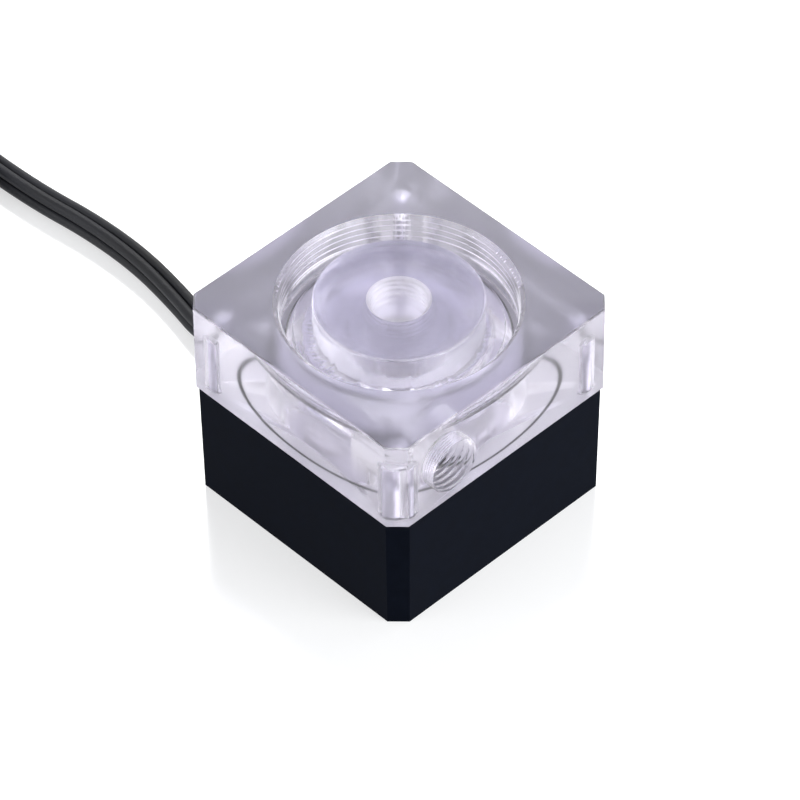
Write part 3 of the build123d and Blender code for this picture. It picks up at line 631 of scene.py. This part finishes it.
thread_rows = shank_root_r + (shank_r - shank_root_r) * np.maximum(screw_ridge * lead_in, fade_out)
head_bottom_z = screw_low.z
head_rows = np.array([shank_r, head_r, head_r, head_r - head_edge])
round_rows = np.ones(len(screw_angle))
screw_r = np.concatenate([thread_rows, head_rows[:, None] * round_rows, [key_r, key_r]])
screw_z = np.concatenate(
    [
        screw_high.z - from_tip,
        head_bottom_z + np.array([head_height, head_height, head_edge, 0, 0, key_depth]),
    ]
)
screws = []
for side_x in (-1, 1):
    for side_y in (-1, 1):
        screw_points = np.stack(
            [
                side_x * screw_pitch / 2 + screw_r * np.cos(screw_angle),
                side_y * screw_pitch / 2 + screw_r * np.sin(screw_angle),
                np.broadcast_to(screw_z[:, None], screw_r.shape),
            ],
            axis=-1,
        )
        screws.append(grid_piece("screw", screw_points, round_v=True))
        close_ends(screws[-1])
        screws[-1].data.set_sharp_from_angle(angle=math.radians(35))
screws = join_pieces("socket_screws", screws)
screws.data.materials.append(grained("driven_steel", (0.6, 0.6, 0.62), 0.28, metallic=1.0, grain=4000))
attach(screws, "housing")
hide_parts("assembly_screws")

# Separator, shaft and rotor: a white moulded can keeps the water off the motor. The magnet,
# its steel sleeve and the closed impeller turn on a ceramic shaft in a graphite bush.
dress(grained("separator_plastic", (0.86, 0.85, 0.88), 0.5), "separator_can")
ceramic = grained("ceramic_white", (0.78, 0.77, 0.74), 0.2)
dress(ceramic, "shaft", "lower_thrust_washer", "upper_thrust_washer")
dress(grained("clip_steel", (0.6, 0.6, 0.6), 0.3, metallic=1.0), "shaft_clip", "magnet_sleeve")
dress(grained("bush_graphite", (0.06, 0.06, 0.065), 0.4), "bearing_bush")
dress(grained("magnet_ferrite", (0.05, 0.045, 0.045), 0.6, grain=5000, depth=0.15), "rotor_magnet")
dress(grained("impeller_white", (0.85, 0.85, 0.85), 0.4), "impeller", "impeller_shroud")


# Stator: stamped steel sheets in a stack, a nylon bobbin on each of its six poles, and a copper
# winding on each bobbin, turn beside turn outwards.
def ribbed(material, pattern, step, depth, groove_shade):
    """Adds fine ribs to a finish, one to each step: bands up the piece or rings about its axis.
    The ribs raise a bump, and painted shade darkens the colour in the grooves between them
    by the share groove_shade."""
    tree = material.node_tree
    shader = tree.nodes["Principled BSDF"]
    place = tree.nodes["Texture Coordinate"]
    ribs = tree.nodes.new("ShaderNodeTexWave")
    ribs.wave_type = pattern
    if pattern == "BANDS":
        ribs.bands_direction = "Z"
    else:
        ribs.rings_direction = "Z"
    ribs.inputs["Scale"].default_value = math.pi / 10 / step
    raised = tree.nodes.new("ShaderNodeBump")
    raised.inputs["Strength"].default_value = depth
    raised.inputs["Distance"].default_value = step / 2
    shade = tree.nodes["Color Ramp"]
    # Painted shade: the colour is multiplied down in the grooves between the ribs.
    darker = tree.nodes.new("ShaderNodeMix")
    darker.data_type = "RGBA"
    darker.blend_type = "MULTIPLY"
    darker.inputs["Factor"].default_value = groove_shade
    tree.links.new(place.outputs["Object"], ribs.inputs["Vector"])
    tree.links.new(ribs.outputs["Fac"], raised.inputs["Height"])
    tree.links.new(tree.nodes["Bump"].outputs["Normal"], raised.inputs["Normal"])
    tree.links.new(raised.outputs["Normal"], shader.inputs["Normal"])
    tree.links.new(shade.outputs["Color"], darker.inputs["A"])
    tree.links.new(ribs.outputs["Color"], darker.inputs["B"])
    tree.links.new(darker.outputs["Result"], shader.inputs["Base Color"])
    return material


stamped = grained("lamination_steel", (0.35, 0.35, 0.37), 0.4, metallic=1.0)
dress(ribbed(stamped, "BANDS", 0.0005, 0.6, 0.5), "stator_core")
dress(grained("bobbin_plastic", (0.75, 0.72, 0.62), 0.5), "coil_bobbins")
wound = grained("winding_copper", (0.72, 0.32, 0.14), 0.35, metallic=1.0)
dress(ribbed(wound, "RINGS", 0.00045, 0.8, 0.6), "stator_coils")

# Circuit board: green solder mask over copper tracks, with the drive's chips, capacitors and
# power transistors soldered on, and a pad that takes their heat to the housing.
mask = grained("board_green", (0.02, 0.12, 0.05), 0.35, grain=1500, depth=0.02)
tree = mask.node_tree
tracks = tree.nodes.new("ShaderNodeTexVoronoi")
tracks.feature = "DISTANCE_TO_EDGE"
tracks.inputs["Scale"].default_value = 350
track_edge = tree.nodes.new("ShaderNodeMath")
track_edge.operation = "LESS_THAN"
track_edge.inputs[1].default_value = 0.06
track_shade = tree.nodes.new("ShaderNodeMix")
track_shade.data_type = "RGBA"
track_shade.inputs["B"].default_value = (0.04, 0.22, 0.09, 1)
tree.links.new(tree.nodes["Texture Coordinate"].outputs["Object"], tracks.inputs["Vector"])
tree.links.new(tracks.outputs["Distance"], track_edge.inputs[0])
tree.links.new(track_edge.outputs["Value"], track_shade.inputs["Factor"])
tree.links.new(tree.nodes["Color Ramp"].outputs["Color"], track_shade.inputs["A"])
tree.links.new(track_shade.outputs["Result"], tree.nodes["Principled BSDF"].inputs["Base Color"])
dress(mask, "circuit_board")
dress(grained("chip_black", (0.02, 0.02, 0.02), 0.4), "power_transistors", "control_chips")
dress(grained("capacitor_silver", (0.7, 0.7, 0.7), 0.3, metallic=1.0), "capacitors")
dress(grained("pad_grey", (0.4, 0.42, 0.45), 0.8, depth=0.1), "thermal_pad")
dress(grained("lead_black", (0.02, 0.02, 0.022), 0.4), "board_leads")

bpy.context.scene.view_settings.view_transform = "Standard"
